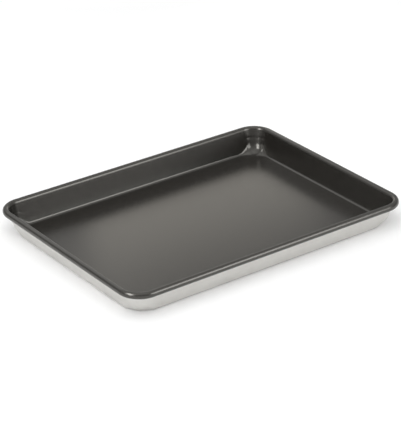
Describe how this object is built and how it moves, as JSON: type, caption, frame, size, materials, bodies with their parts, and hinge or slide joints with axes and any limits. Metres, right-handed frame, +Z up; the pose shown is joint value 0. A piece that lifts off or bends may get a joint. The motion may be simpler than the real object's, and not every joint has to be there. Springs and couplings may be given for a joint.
{
  "type": "sheet pan",
  "caption": "Shallow rectangular baking sheet pan with leaning walls, round corners, a wired rolled rim and a dark non-stick film inside.",
  "frame": {"origin": "middle of the underside, on the surface that the pan stands on", "axes": "+X along the long sides, +Y along the short sides, +Z up out of the open top"},
  "size_m": [0.33, 0.241, 0.0275],
  "materials": {
    "bare_aluminium": "satin rolled sheet",
    "galvanised_wire": "dull galvanised",
    "nonstick_coating": "satin dark grey non-stick"
  },
  "bodies": {
    "root": {"pan_body": "bare_aluminium", "rim_wire": "galvanised_wire", "nonstick_film": "nonstick_coating"}
  },
  "joints": []
}
